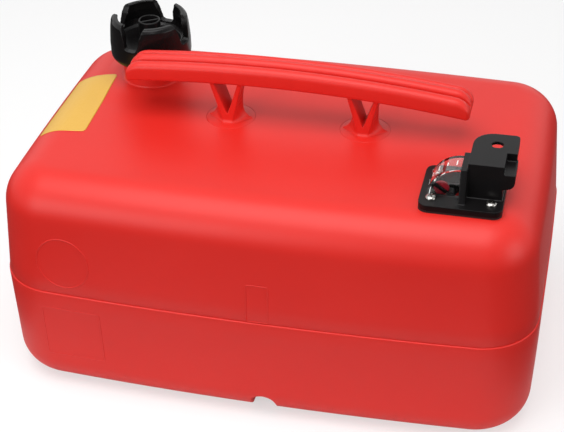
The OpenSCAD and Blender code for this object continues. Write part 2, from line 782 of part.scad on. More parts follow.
module float_arm() color(steel) {
    plane_rod(on_arm(crank_a, shaft_r + 1.6), crank_p, wire_r);
    translate([crank_p[0], arm_y, crank_p[1]]) sphere(r = wire_r + 0.15, $fn = small_fn);
    plane_rod(crank_p, float_p, wire_r);
    translate([float_p[0], arm_y, float_p[1]]) {
        sphere(r = wire_r + 0.15, $fn = small_fn);
        y_cylinder(wire_r, 0, float_y0 - arm_y + float_l + 4);
    }
}

module float_body() color("tan") {
    translate([float_p[0], 0, float_p[1]]) difference() {
        rotate([-90, 0, 0]) translate([0, 0, float_y0]) rotate_extrude($fn = large_fn)
            polygon([[0, 0], [float_r - 2, 0], [float_r, 2], [float_r, float_l - 2], [float_r - 2, float_l], [0, float_l]]);
        y_cylinder(wire_r, float_y0 - 1, float_y0 + float_l + 1);
    }
}

clip_t = 0.8;
module float_clips() color(steel) {
    for (y = [float_y0 - clip_t, float_y0 + float_l])
        translate([float_p[0], 0, float_p[1]]) difference() {
            y_cylinder(4, y, y + clip_t);
            y_cylinder(wire_r, y - 1, y + clip_t + 1);
        }
}

// ---- Pickup and fuel outlet ----

strainer_z = wall + strainer_gap;
strainer_h = 26;
strainer_r = 8;
module pickup_tube() color(steel) {
    low = strainer_z + 8;
    translate([pickup_x, gauge_y, low]) difference() {
        cylinder(r = pickup_r, h = plate_top + pickup_seat - low, $fn = small_fn);
        translate([0, 0, -1]) cylinder(r = pickup_r - 1.1, h = body_h + 40, $fn = small_fn);
    }
}

module pickup_strainer() color("ivory") {
    window_h = strainer_h - 10;
    translate([pickup_x, gauge_y, strainer_z]) difference() {
        cylinder(r = strainer_r, h = strainer_h, $fn = small_fn);
        translate([0, 0, 1.5]) cylinder(r = strainer_r - 1.2, h = strainer_h - 5.5, $fn = small_fn);
        cylinder(r = pickup_r, h = strainer_h + 1, $fn = small_fn);
        for (i = [0:2])
            rotate([0, 0, 60 * i])
                translate([-strainer_r - 1, -2.4, 4]) cube([2 * strainer_r + 2, 4.8, window_h]);
    }
    translate([pickup_x, gauge_y, strainer_z]) cylinder(r = strainer_r - 2, h = 1.5, $fn = small_fn);
}

flange_r = 6.3;
flange_t = 2;
valve_bore = 2.6;
module outlet_nipple() color(brass) {
    translate([nipple_x, prong_y, prong_z]) rotate([-90, 0, 0]) rotate_extrude($fn = small_fn)
        polygon([[valve_bore, -3], [valve_chamber_r, -3], [valve_chamber_r, 0], [flange_r, 0],
                 [flange_r, flange_t], [nipple_r, flange_t], [nipple_r, nipple_l - 1],
                 [nipple_r - 1, nipple_l], [valve_bore, nipple_l]]);
}

valve_head_r = valve_chamber_r - 0.4;
valve_head_t = 4;
module outlet_valve() color(brass) {
    seat = -3 - rest_gap;
    translate([nipple_x, prong_y, prong_z]) {
        y_cylinder(valve_head_r, seat - valve_head_t, seat);
        y_cylinder(valve_bore - 1, seat - bite, nipple_l - 0.6);
        y_cylinder(1.2, seat - valve_head_t - 2, seat - valve_head_t + bite);
    }
}

// Coil spring between the valve and the blind end of its chamber
spring_turns = 5;
spring_wire = 0.4;
spring_steps = 12;
function ring(i) =
    let (a = 360 * i / spring_steps, r = valve_chamber_r - 1.1,
         run = prong_y - 3 - rest_gap - valve_head_t - chamber_y0 - 2 * spring_wire,
         y = chamber_y0 + spring_wire + run * i / (spring_turns * spring_steps))
    [for (k = [0:5]) let (b = 60 * k)
        [nipple_x + (r + spring_wire * cos(b)) * cos(a), y + spring_wire * sin(b) * 0.98,
         prong_z + (r + spring_wire * cos(b)) * sin(a)]];

module valve_spring() color(steel) {
    n = spring_turns * spring_steps;
    points = [for (i = [0:n], p = ring(i)) p];
    sides = [for (i = [0:n - 1], k = [0:5])
        [6 * i + k, 6 * (i + 1) + k, 6 * (i + 1) + (k + 1) % 6, 6 * i + (k + 1) % 6]];
    polyhedron(points, concat(sides, [[5, 4, 3, 2, 1, 0]], [[for (k = [5:-1:0]) 6 * n + 5 - k]]));
}

module guide_pin() color(steel) {
    tip = nipple_l - 3;
    translate([guide_x, prong_y, prong_z]) rotate([-90, 0, 0]) rotate_extrude($fn = small_fn)
        polygon([[0, -root_l], [guide_root_r, -root_l], [guide_root_r, 0], [guide_r, 0],
                 [guide_r, tip - 1.5], [guide_r - 1.5, tip], [0, tip]]);
}

tank_shell();
carry_handle();
cap_crown();
cap_insert();
cap_liner();
cap_gasket();
vent_knob();
vent_seal();
gauge_housing();
gauge_gasket();
gauge_lens();
gauge_screws();
screw_inserts();
gauge_pointer();
pointer_disc();
pointer_shaft();
float_arm();
float_body();
float_clips();
pickup_tube();
pickup_strainer();
outlet_nipple();
outlet_valve();
valve_spring();
guide_pin();
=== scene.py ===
import math

import bpy
import bmesh
from mathutils import Matrix, Vector
from mathutils.bvhtree import BVHTree


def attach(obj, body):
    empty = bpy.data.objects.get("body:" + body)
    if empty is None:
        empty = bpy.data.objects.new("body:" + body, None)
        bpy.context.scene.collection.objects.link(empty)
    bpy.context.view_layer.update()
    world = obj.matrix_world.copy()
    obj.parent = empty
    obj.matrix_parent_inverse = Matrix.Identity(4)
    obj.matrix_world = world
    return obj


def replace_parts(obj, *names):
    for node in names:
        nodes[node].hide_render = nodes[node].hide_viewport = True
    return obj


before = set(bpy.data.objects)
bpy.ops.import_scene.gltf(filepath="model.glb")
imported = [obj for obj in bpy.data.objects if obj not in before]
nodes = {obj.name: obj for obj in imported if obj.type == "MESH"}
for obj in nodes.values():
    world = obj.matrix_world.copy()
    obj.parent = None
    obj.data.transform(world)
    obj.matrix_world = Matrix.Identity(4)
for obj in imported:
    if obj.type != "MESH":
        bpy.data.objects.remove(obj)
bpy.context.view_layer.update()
scene = bpy.context.scene
mm = 0.001


# colour and shader helpers

def hexColour(code):
    out = []
    for i in (0, 2, 4):
        c = int(code[i:i + 2], 16) / 255
        out.append(c / 12.92 if c <= 0.04045 else ((c + 0.055) / 1.055) ** 2.4)
    return out + [1.0]


def addNode(tree, kind, settings=None, inputs=None, links=None):
    node = tree.nodes.new(kind)
    for key, value in (settings or {}).items():
        setattr(node, key, value)
    for key, value in (inputs or {}).items():
        node.inputs[key].default_value = value
    for key, (source, socket) in (links or {}).items():
        tree.links.new(source.outputs[socket], node.inputs[key])
    return node


def startMaterial(name, **values):
    mat = bpy.data.materials.new(name)
    mat.use_nodes = True
    bsdf = mat.node_tree.nodes["Principled BSDF"]
    for key, value in values.items():
        bsdf.inputs[key.replace("_", " ")].default_value = value
    where = addNode(mat.node_tree, "ShaderNodeTexCoord")
    return mat, mat.node_tree, bsdf, where


def noiseAt(tree, where, sizeMm, detail=2.0, roughness=0.5):
    return addNode(tree, "ShaderNodeTexNoise", None,
                   {"Scale": 1000 / sizeMm, "Detail": detail, "Roughness": roughness},
                   {"Vector": (where, "Object")})


def bumpFrom(tree, bsdf, layers):
    # layers of (noise, depth in mm), stacked
    last = None
    for noise, depthMm in layers:
        links = {"Height": (noise, "Fac")}
        if last:
            links["Normal"] = (last, "Normal")
        last = addNode(tree, "ShaderNodeBump", None,
                       {"Strength": 1.0, "Distance": depthMm * mm}, links)
    tree.links.new(last.outputs["Normal"], bsdf.inputs["Normal"])


def spread(tree, noise, low, high):
    # noise lies mostly between 0.3 and 0.7
    return addNode(tree, "ShaderNodeMapRange", None,
                   {"From Min": 0.3, "From Max": 0.7, "To Min": low, "To Max": high},
                   {"Value": (noise, "Fac")})


def tint(tree, noise, codeA, codeB):
    return addNode(tree, "ShaderNodeMix", {"data_type": "RGBA"},
                   {6: hexColour(codeA), 7: hexColour(codeB)},
                   {0: (noise, "Fac")})


def mouldedHdpe(name, v):
    # pigmented polyethylene: a broad soft sheen over a slightly glowing colour
    mat, tree, bsdf, where = startMaterial(name, IOR=1.54, Specular_IOR_Level=v["sheen"])
    drift = noiseAt(tree, where, v["driftMm"])
    fine = noiseAt(tree, where, v["grainMm"], 3.0)
    wave = noiseAt(tree, where, v["waveMm"], 1.0)
    tree.links.new(tint(tree, drift, v["red"], v["deepRed"]).outputs[2], bsdf.inputs["Base Color"])
    tree.links.new(spread(tree, fine, v["smooth"], v["rough"]).outputs[0], bsdf.inputs["Roughness"])
    bsdf.inputs["Subsurface Weight"].default_value = v["glow"]
    bsdf.inputs["Subsurface Radius"].default_value = v["glowSpread"]
    bsdf.inputs["Subsurface Scale"].default_value = v["glowMm"] * mm
    bumpFrom(tree, bsdf, [(wave, v["waveDepthMm"]), (fine, v["grainDepthMm"])])
    return mat


def filledNylon(name, v):
    # glass-filled nylon: near black with a dusty grain that catches light on top
    mat, tree, bsdf, where = startMaterial(name, IOR=1.53, Specular_IOR_Level=v["sheen"])
    grain = noiseAt(tree, where, v["grainMm"], 3.0)
    cloud = noiseAt(tree, where, v["cloudMm"])
    tree.links.new(tint(tree, cloud, v["dark"], v["pale"]).outputs[2], bsdf.inputs["Base Color"])
    tree.links.new(spread(tree, grain, v["smooth"], v["rough"]).outputs[0], bsdf.inputs["Roughness"])
    bumpFrom(tree, bsdf, [(grain, v["grainDepthMm"])])
    return mat


def plainSolid(name, code, v):
    # one even colour with a fine grain; each material's note says what it gives the eye
    mat, tree, bsdf, where = startMaterial(name, IOR=v.get("ior", 1.5), Metallic=v.get("metal", 0.0))
    grain = noiseAt(tree, where, v["grainMm"], 2.0)
    tree.links.new(tint(tree, grain, code, v.get("other", code)).outputs[2], bsdf.inputs["Base Color"])
    tree.links.new(spread(tree, grain, v["smooth"], v["rough"]).outputs[0], bsdf.inputs["Roughness"])
    bumpFrom(tree, bsdf, [(grain, v["grainDepthMm"])])
    return mat


def clearPmma(name, v):
    # moulded acrylic: clear, with the edges picking up the surroundings
    mat, tree, bsdf, where = startMaterial(name, IOR=1.49, Transmission_Weight=1.0)
    bsdf.inputs["Base Color"].default_value = hexColour(v["colour"])
    wave = noiseAt(tree, where, v["waveMm"], 1.0)
    tree.links.new(spread(tree, wave, v["smooth"], v["rough"]).outputs[0], bsdf.inputs["Roughness"])
    bumpFrom(tree, bsdf, [(wave, v["waveDepthMm"])])
    return mat


hdpe = mouldedHdpe("pigmented moulded HDPE", {
    "red": "dc2921", "deepRed": "d7251e", "driftMm": 90, "sheen": 0.32,
    "glow": 0.1, "glowSpread": (1.0, 0.18, 0.12), "glowMm": 3,
    "smooth": 0.37, "rough": 0.43, "grainMm": 1.1, "grainDepthMm": 0.012,
    "waveMm": 45, "waveDepthMm": 0.35})
nylon = filledNylon("glass-filled nylon", {
    "dark": "0e0d0d", "pale": "141213", "cloudMm": 14, "sheen": 0.16, "smooth": 0.28, "rough": 0.38,
    "grainMm": 0.5, "grainDepthMm": 0.02})
glossyCapNylonPaintedShade = filledNylon("glass-filled nylon, polished mould, painted shade", {  # the same nylon, but glossier; its black is a little darker, as painted shade on the cap
    "dark": "0c0b0b", "pale": "110f10", "cloudMm": 14, "sheen": 0.22, "smooth": 0.2, "rough": 0.28,
    "grainMm": 0.5, "grainDepthMm": 0.01})
rubber = plainSolid("fuel-resistant nitrile rubber", "141313", {  # a dull black skin
    "smooth": 0.6, "rough": 0.75, "grainMm": 0.4, "grainDepthMm": 0.01, "ior": 1.52})
acetal = plainSolid("white acetal", "e4e1d8", {  # moulded: milky, with a faint sheen
    "smooth": 0.3, "rough": 0.4, "grainMm": 0.8, "grainDepthMm": 0.006, "ior": 1.48})
stainless = plainSolid("stainless steel", "a8a5a1", {  # drawn wire and headed screws: a soft grey mirror
    "smooth": 0.16, "rough": 0.26, "grainMm": 0.3, "grainDepthMm": 0.003, "metal": 1.0})
brass = plainSolid("turned brass", "cfa860", {  # a warm, slightly dulled mirror
    "smooth": 0.2, "rough": 0.32, "grainMm": 0.3, "grainDepthMm": 0.003, "metal": 1.0})
aluminium = plainSolid("drawn aluminium tube", "c4c6c8", {  # pale grey with broad highlights
    "smooth": 0.3, "rough": 0.42, "grainMm": 0.3, "grainDepthMm": 0.003, "metal": 1.0})
foam = plainSolid("closed-cell nitrile foam", "a98a5c", {  # cut: matt and mottled
    "smooth": 0.75, "rough": 0.9, "grainMm": 0.7, "grainDepthMm": 0.06, "other": "8f7248"})
redAcetal = plainSolid("red acetal", "a30d22", {  # moulded: deep red with a faint sheen
    "smooth": 0.3, "rough": 0.4, "grainMm": 0.8, "grainDepthMm": 0.004})
vinyl = plainSolid("yellow vinyl film", "deae46", {  # warm yellow with a weak gloss
    "smooth": 0.38, "rough": 0.46, "grainMm": 2.5, "grainDepthMm": 0.01, "other": "dbaa42"})
whiteInk = plainSolid("white pad-print ink", "f0efec", {  # a thin dry coat, matt
    "smooth": 0.5, "rough": 0.6, "grainMm": 0.3, "grainDepthMm": 0.003})
pmma = clearPmma("clear PMMA", {"colour": "f6fafa", "smooth": 0.02, "rough": 0.05,
                                "waveMm": 9, "waveDepthMm": 0.02})
print("materials made")


# mesh helpers

def makeObject(name, bm):
    mesh = bpy.data.meshes.new(name)
    bm.to_mesh(mesh)
    bm.free()
    obj = bpy.data.objects.new(name, mesh)
    scene.collection.objects.link(obj)
    return obj


def addPiece(name, bm, material, slotName, body="tank", sharpDeg=35):
    bmesh.ops.recalc_face_normals(bm, faces=bm.faces)
    obj = makeObject(name, bm)
    mesh = obj.data
    mesh.materials.append(material)
    mesh.polygons.foreach_set("use_smooth", [True] * len(mesh.polygons))
    mesh.set_sharp_from_angle(angle=math.radians(sharpDeg))
    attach(obj, body)
    return obj if slotName else obj


def copyNode(name):
    # a CAD node's mesh where it stands, with its split corners merged
    bm = bmesh.new()
    bm.from_mesh(nodes[name].data)
    bm.transform(nodes[name].matrix_world)
    bmesh.ops.remove_doubles(bm, verts=bm.verts, dist=0.001 * mm)
    return bm


def bridge(bm, a, b, closed=True):
    # faces between two rows of vertices
    n = len(a)
    for i in range(n if closed else n - 1):
        bm.faces.new((a[i], a[(i + 1) % n], b[(i + 1) % n], b[i]))


def lathe(bm, profile, centre, steps):
    # closed profile of (radius, height) in mm, turned once round a vertical axis
    verts = [bm.verts.new(((centre[0] + r) * mm, centre[1] * mm, z * mm)) for r, z in profile]
    edges = [bm.edges.new((verts[i], verts[(i + 1) % len(verts)])) for i in range(len(verts))]
    bmesh.ops.spin(bm, geom=verts + edges, cent=(centre[0] * mm, centre[1] * mm, 0),
                   axis=(0, 0, 1), angle=math.tau, steps=steps, use_merge=True)
    bmesh.ops.remove_doubles(bm, verts=bm.verts, dist=1e-6)


def prism(bm, loop, low, high):
    # closed loop of (x, y) in mm between two heights
    a = [bm.verts.new((x * mm, y * mm, low * mm)) for x, y in loop]
    b = [bm.verts.new((x * mm, y * mm, high * mm)) for x, y in loop]
    bm.faces.new(a)
    bm.faces.new(b)
    bridge(bm, a, b)


def turn(cx, cy, r, start, end, steps):
    # points on an arc, from one direction to another in degrees
    angles = [math.radians(start + (end - start) * i / steps) for i in range(steps + 1)]
    return [(cx + r * math.cos(a), cy + r * math.sin(a)) for a in angles]


def roundedLoop(x0, y0, x1, y1, r, steps=6):
    out = []
    for cx, cy, start in ((x1 - r, y1 - r, 0), (x0 + r, y1 - r, 90), (x0 + r, y0 + r, 180), (x1 - r, y0 + r, 270)):
        out += turn(cx, cy, r, start, start + 90, steps)
    return out


def modify(obj, kind, **settings):
    mod = obj.modifiers.new(kind.lower(), kind)
    for key, value in settings.items():
        setattr(mod, key, value)
    return mod


def bake(obj):
    # turns the modifiers so far into the mesh itself
    deps = bpy.context.evaluated_depsgraph_get()
    mesh = bpy.data.meshes.new_from_object(obj.evaluated_get(deps))
    obj.modifiers.clear()
    obj.data = mesh


def cutAway(obj, bm, name):
    # takes a solid away from a piece
    bmesh.ops.recalc_face_normals(bm, faces=bm.faces)
    cutter = makeObject(name, bm)
    modify(obj, "BOOLEAN", operation="DIFFERENCE", solver="EXACT", object=cutter)
    bake(obj)
    bpy.data.objects.remove(cutter)


def softenEdges(obj, voxelMm, rounds):
    # soft moulded edges and fillets where faces meet
    modify(obj, "REMESH", mode="VOXEL", voxel_size=voxelMm * mm, use_smooth_shade=True)
    modify(obj, "SMOOTH", factor=0.5, iterations=rounds)


# tank shell

tank = {"length": 490, "width": 320, "height": 218, "wall": 4, "cornerRadius": 54,
        "topRadius": 38, "bottomRadius": 32, "upperDraft": 4.3, "lowerDraft": 1.3,
        "partingHeight": 111, "partingStep": 0.8, "partingBelow": 1.6, "partingAbove": 2,
        "partingUnder": ((0.02, -1.3), (0.14, -0.5), (0.5, -0.05)),
        "partingOver": ((0.5, 0.15), (0.42, 0.8), (0.15, 1.6)), "sideTurn": 3.3, "endTurn": 1.4}
groove = {"x": 7, "half": 11, "depth": 25, "lip": 8, "softness": 5, "away": 8, "reach": 60, "fineHalf": 26}
neck = {"x": -151, "y": 65, "padHeight": 1.8, "padInner": 38, "padOuter": 56, "padFront": 14, "bore": 22.5,
        "padOver": 150, "collar": 27.8, "collarTop": 240, "fillet": 2, "flange": 3, "sunk": 5, "core": 25.8, "top": 250,
        "steps": 128, "footSteps": 12}
feet = {"places": (-57, 69), "y": 5, "hole": 22.95, "radius": 22.8, "skirt": 26.8, "depth": 7, "steps": 128}
openings = {"gauge": (172, -85, 25), "depth": 30, "steps": 128}
outerMesh = {"step": 3.0, "fine": 1.0, "corner": 18, "end": 4, "bottom": 16, "wall": 5, "top": 20, "rows": 112}
innerMesh = {"step": 12.0, "fine": 3.0, "corner": 8, "end": 2, "bottom": 6, "wall": 3, "top": 7, "rows": 12}

# radii of the crowned sides and ends, so that they run into the corner arcs without a kink
halfL, halfW, cornerR = tank["length"] / 2, tank["width"] / 2, tank["cornerRadius"]
sinSide, cosSide = math.sin(math.radians(tank["sideTurn"])), math.cos(math.radians(tank["sideTurn"]))
sinEnd, cosEnd = math.sin(math.radians(tank["endTurn"])), math.cos(math.radians(tank["endTurn"]))
spanX, spanY = halfL + cornerR * (sinSide - cosEnd), halfW + cornerR * (sinEnd - cosSide)
det = sinSide * sinEnd - (1 - cosEnd) * (1 - cosSide)
sideR = (spanX * sinEnd - spanY * (1 - cosEnd)) / det
endR = (spanY * sinSide - spanX * (1 - cosSide)) / det
cornerX, cornerY = (sideR - cornerR) * sinSide, (endR - cornerR) * sinEnd
upperTan = math.tan(math.radians(tank["upperDraft"]))
lowerTan = math.tan(math.radians(tank["lowerDraft"]))
topCentre = tank["height"] - tank["topRadius"]
topInset = (tank["partingStep"] + tank["topRadius"] / math.cos(math.radians(tank["upperDraft"]))
            + (topCentre - tank["partingHeight"]) * upperTan)
bottomInset = (tank["bottomRadius"] / math.cos(math.radians(tank["lowerDraft"]))
               + (tank["partingHeight"] - tank["bottomRadius"]) * lowerTan)


def smoothMax(a, b, k):
    # the larger of two heights, blended over k
    h = min(max(0.5 + 0.5 * (a - b) / k, 0), 1)
    return a * h + b * (1 - h) + k * h * (1 - h)


def grooveHeight(x, thicker):
    # the groove across the base has a round roof and rounded lips
    d, half, lip = abs(x - groove["x"]), groove["half"] + thicker, groove["lip"]
    if d <= half:
        return groove["depth"] - groove["half"] + math.sqrt(half * half - d * d)
    if d <= half + lip:
        return thicker + lip - math.sqrt(max(lip * lip - (half + lip - d) ** 2, 0))
    return thicker - groove["away"]


def padHeight(x, y):
    # the pad's edge is steeper behind the neck and runs out softly in front of it
    d = math.hypot(x - neck["x"], y - neck["y"])
    outer = neck["padOuter"] + neck["padFront"] * (0.5 - 0.5 * (y - neck["y"]) / max(d, 1))
    s = min(max((outer - d) / (outer - neck["padInner"]), 0), 1)
    return neck["padHeight"] * s * s * (3 - 2 * s)


def planInset(x, y):
    # how far a place lies inside the plan's outline
    x, y = abs(x), abs(y)
    if math.atan2(y, x - halfL + endR) <= math.radians(tank["endTurn"]):
        return endR - math.hypot(x - halfL + endR, y)
    if math.atan2(x, y + sideR - halfW) <= math.radians(tank["sideTurn"]):
        return sideR - math.hypot(x, y + sideR - halfW)
    return cornerR - math.hypot(x - cornerX, y - cornerY)


def topHeight(x, y):
    short = topInset - planInset(x, y)
    z = tank["height"]
    if short > 0:
        z = topCentre + math.sqrt(max(tank["topRadius"] ** 2 - short * short, 0))
    return z + padHeight(x, y)


def wallInset(z):
    # how far the outer wall stands in from the plan's outline
    if z >= tank["partingHeight"]:
        return tank["partingStep"] + (z - tank["partingHeight"]) * upperTan
    if z >= tank["bottomRadius"]:
        return (tank["partingHeight"] - z) * lowerTan
    return bottomInset - math.sqrt(tank["bottomRadius"] ** 2 - (tank["bottomRadius"] - z) ** 2)


def frontWall(x, z):
    r = wallInset(z)
    if abs(x) <= (sideR - r) * sinSide:
        return sideR - halfW - math.sqrt((sideR - r) ** 2 - x * x)
    return -cornerY - math.sqrt(max((cornerR - r) ** 2 - (abs(x) - cornerX) ** 2, 0))


def columns(d):
    # front half of the plan as (centre x, centre y, radius, direction), right end to left end
    half = [(halfL - endR, 0, endR, -tank["endTurn"] * i / d["end"]) for i in range(d["end"])]
    sweep = 90 - tank["sideTurn"] - tank["endTurn"]
    half += [(cornerX, -cornerY, cornerR, -tank["endTurn"] - sweep * i / d["corner"]) for i in range(d["corner"])]
    edge = sideR * sinSide
    xs = [edge]
    while xs[-1] > -edge:
        near = abs(xs[-1] - groove["x"]) < groove["fineHalf"]
        xs.append(max(xs[-1] - (d["fine"] if near else d["step"]), -edge))
    side = [(0, sideR - halfW, sideR, -math.degrees(math.acos(v / sideR))) for v in xs[:-1]]
    left = [(-c[0], c[1], c[2], -180 - c[3]) for c in reversed(half)]
    corner = (-cornerX, -cornerY, cornerR, -90 - tank["sideTurn"])
    return half + side + [corner] + left


def wallProfile(thick, d):
    # (inset, height) up the wall, from the floor's edge to the roof's
    rb, rt = tank["bottomRadius"] - thick, tank["topRadius"] - thick
    top = math.radians(90 - tank["upperDraft"])
    low = math.radians(90 - tank["lowerDraft"])
    out = [(bottomInset - rb * math.sin(low * i / d["bottom"]),
            tank["bottomRadius"] - rb * math.cos(low * i / d["bottom"])) for i in range(d["bottom"] + 1)]
    zp, step = tank["partingHeight"], tank["partingStep"]
    zLow, zTop = out[-1][1], topCentre + rt * math.cos(top)
    below, above = tank["partingBelow"], tank["partingAbove"]
    for i in range(1, d["wall"]):
        z = zLow + (zp - below - zLow) * i / d["wall"]
        out.append((thick + (zp - z) * lowerTan, z))
    if thick:
        out.append((step + thick, zp))
    else:
        out += [(inset, zp + up) for inset, up in tank["partingUnder"]]
        out += [(step + inset, zp + up) for inset, up in tank["partingOver"]]
    for i in range(1, d["wall"]):
        z = zp + above + (zTop - zp - above) * i / d["wall"]
        out.append((thick + step + (z - zp) * upperTan, z))
    out += [(topInset - rt * math.sin(top * (1 - i / d["top"])),
             topCentre + rt * math.cos(top * (1 - i / d["top"]))) for i in range(d["top"] + 1)]
    return out


def skin(bm, thick, d):
    # walls ring by ring, then floor and roof as strips from front to back
    cols, profile, rows = columns(d), wallProfile(thick, d), d["rows"]

    def shape(x, y, z):
        if z < groove["reach"]:
            z = smoothMax(z, grooveHeight(x, thick), groove["softness"])
        if z > neck["padOver"]:
            z += padHeight(x, y)
        return bm.verts.new((x * mm, y * mm, z * mm))

    def at(col, inset, side):
        a = math.radians(col[3])
        return (col[0] + (col[2] - inset) * math.cos(a), side * (col[1] + (col[2] - inset) * math.sin(a)))

    n, loops = len(cols), []
    for inset, z in profile:
        front = [shape(*at(c, inset, 1), z) for c in cols]
        back = [shape(*at(c, inset, -1), z) for c in cols[1:-1]]
        loops.append((front, [front[0]] + back + [front[-1]]))
    for (f0, b0), (f1, b1) in zip(loops, loops[1:]):
        for i in range(n - 1):
            bm.faces.new((f0[i], f0[i + 1], f1[i + 1], f1[i]))
            bm.faces.new((b0[i + 1], b0[i], b1[i], b1[i + 1]))
    for (front, back), z in ((loops[0], profile[0][1]), (loops[-1], profile[-1][1])):
        inset = profile[0][0] if z < groove["reach"] else profile[-1][0]
        strips = []
        for i in range(1, n - 1):
            x, y = at(cols[i], inset, 1)
            strips.append([front[i]] + [shape(x, y * (1 - 2 * j / rows), z) for j in range(1, rows)] + [back[i]])
        for a, b in zip(strips, strips[1:]):
            bridge(bm, a, b, closed=False)
        for end, strip in ((front[0], strips[0]), (front[-1], strips[-1])):
            for j in range(rows):
                bm.faces.new((end, strip[j], strip[j + 1]))


bm = bmesh.new()
skin(bm, 0, outerMesh)
bmesh.ops.recalc_face_normals(bm, faces=bm.faces)
outer = len(bm.faces)
skin(bm, tank["wall"], innerMesh)
bm.faces.ensure_lookup_table()
inner = bm.faces[outer:]
bmesh.ops.recalc_face_normals(bm, faces=inner)
bmesh.ops.reverse_faces(bm, faces=inner)
shell = makeObject("shell_moulding", bm)
shell.data.materials.append(hdpe)
shell.data.polygons.foreach_set("use_smooth", [True] * len(shell.data.polygons))

holes = [(neck["x"], neck["y"], neck["bore"]), openings["gauge"]]
holes += [(x, feet["y"], feet["hole"]) for x in feet["places"]]
bm = bmesh.new()
for x, y, r in holes:
    bmesh.ops.create_cone(bm, cap_ends=True, segments=openings["steps"], radius1=r * mm, radius2=r * mm,
                          depth=openings["depth"] * mm,
                          matrix=Matrix.Translation((x * mm, y * mm, tank["height"] * mm)))
cutAway(shell, bm, "openings")
shell.data.set_sharp_from_angle(angle=math.radians(38))
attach(shell, "tank")
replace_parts(shell, "tank_shell")
print("shell", len(shell.data.polygons))

# neck on its collar; the fillet at its foot runs into the pad
bm = bmesh.new()
rc, fr, zc, zt, core, bore = (neck[key] for key in ("collar", "fillet", "collarTop", "top", "core", "bore"))
base, flange, sunk = tank["height"] + neck["padHeight"], rc + fr + neck["flange"], tank["height"] - neck["sunk"]
foot = [math.radians(90 * i / neck["footSteps"]) for i in range(neck["footSteps"] + 1)]
lathe(bm, [(bore, sunk), (flange, sunk), (flange, base - 0.8), (rc + fr + 1.2, base - 0.06)]
      + [(rc + fr - fr * math.sin(a), base + fr - fr * math.cos(a)) for a in foot]
      + [(rc, zc - 2), (rc - 0.25, zc - 1.1), (rc - 0.8, zc - 0.35), (rc - 1.8, zc), (core + 0.6, zc), (core, zc + 0.6),
         (core, zt - 1.2), (core - 0.35, zt - 0.35), (core - 1.2, zt), (bore + 0.6, zt), (bore, zt - 0.6)],
      (neck["x"], neck["y"]), neck["steps"])
neckPiece = addPiece("filler_neck", bm, hdpe, "red_shell", sharpDeg=50)

# pad under the gauge plate
gaugePad = {"box": (134.7, -116.8, 204.3, -53.2), "corner": 8, "low": 211, "high": 217.98, "soft": 0.8}
bm = bmesh.new()
prism(bm, roundedLoop(*gaugePad["box"], gaugePad["corner"]), gaugePad["low"], gaugePad["high"])
edges = [e for e in bm.edges if all(v.co.z > (gaugePad["high"] - 1) * mm for v in e.verts)]
bmesh.ops.bevel(bm, geom=edges, offset=gaugePad["soft"] * mm, segments=3, profile=0.5, affect="EDGES", material=-1)
addPiece("gauge_pad", bm, hdpe, "red_shell")

beadSection = ((-0.5, -0.4), (-0.5, 0.0), (-0.34, 0.75), (0.0, 1.0), (0.34, 0.75), (0.5, 0.0), (0.5, -0.4))


def bead(bm, path, normals, v, closed=True):
    # a low rounded rib that follows the wall; its section is in shares of its width and height
    n, rings = len(path), []
    for i in range(n):
        a = path[(i + 1) % n] if closed or i < n - 1 else path[i]
        b = path[i - 1] if closed or i > 0 else path[i]
        along = (a - b).normalized()
        out = normals[i]
        across = along.cross(out).normalized()
        ring = []
        for s, h in beadSection:
            ring.append(bm.verts.new(path[i] + across * s * v["width"] * mm + out * h * v["height"] * mm))
        rings.append(ring)
    for i in range(n if closed else n - 1):
        bridge(bm, rings[i], rings[(i + 1) % n])
    if not closed:
        bm.faces.new(rings[0])
        bm.faces.new(rings[-1])


def onWall(points):
    # (x, z) in mm on the front wall as places and normals
    path, normals = [], []
    for x, z in points:
        y = frontWall(x, z)
        dx = (frontWall(x + 1, z) - frontWall(x - 1, z)) / 2
        dz = (frontWall(x, z + 1) - frontWall(x, z - 1)) / 2
        path.append(Vector((x, y, z)) * mm)
        normals.append(Vector((dx, -1, dz)).normalized())
    return path, normals


# thread on the neck
thread = {"pitch": 6, "turns": 1.2, "start": 241.7, "width": 2.4, "height": 1.4, "steps": 96}
bm = bmesh.new()
path, normals = [], []
for i in range(int(thread["steps"] * thread["turns"]) + 1):
    a = math.tau * i / thread["steps"]
    rise = thread["start"] + thread["pitch"] * i / thread["steps"]
    path.append(Vector((neck["x"] + core * math.cos(a), neck["y"] + core * math.sin(a), rise)) * mm)
    normals.append(Vector((math.cos(a), math.sin(a), 0)))
bead(bm, path, normals, thread, closed=False)
addPiece("neck_thread", bm, hdpe, "red_shell", sharpDeg=80)

# raised ring and bare frames on the front wall
marks = {"ring": (-172.5, 143.9, 24.6), "ringSteps": 96, "ringBead": {"width": 1.3, "height": 0.55},
         "panel": (-197, 40, -141.5, 94), "small": (-4, 112.6, 15.3, 149.5), "corner": 1.5, "cornerSteps": 3,
         "spacing": 4, "frameBead": {"width": 1.0, "height": 0.4}}
bm = bmesh.new()
bead(bm, *onWall(turn(*marks["ring"], 0, 360, marks["ringSteps"])[:-1]), marks["ringBead"])
for box in (marks["panel"], marks["small"]):
    corners = roundedLoop(*box, marks["corner"], marks["cornerSteps"])
    dense = []
    for p, q in zip(corners, corners[1:] + corners[:1]):
        steps = max(1, int(math.dist(p, q) / marks["spacing"]))
        dense += [(p[0] + (q[0] - p[0]) * k / steps, p[1] + (q[1] - p[1]) * k / steps) for k in range(steps)]
    bead(bm, *onWall(dense), marks["frameBead"])
addPiece("moulded_marks", bm, hdpe, "red_shell", sharpDeg=80)
print("neck, pad and marks")

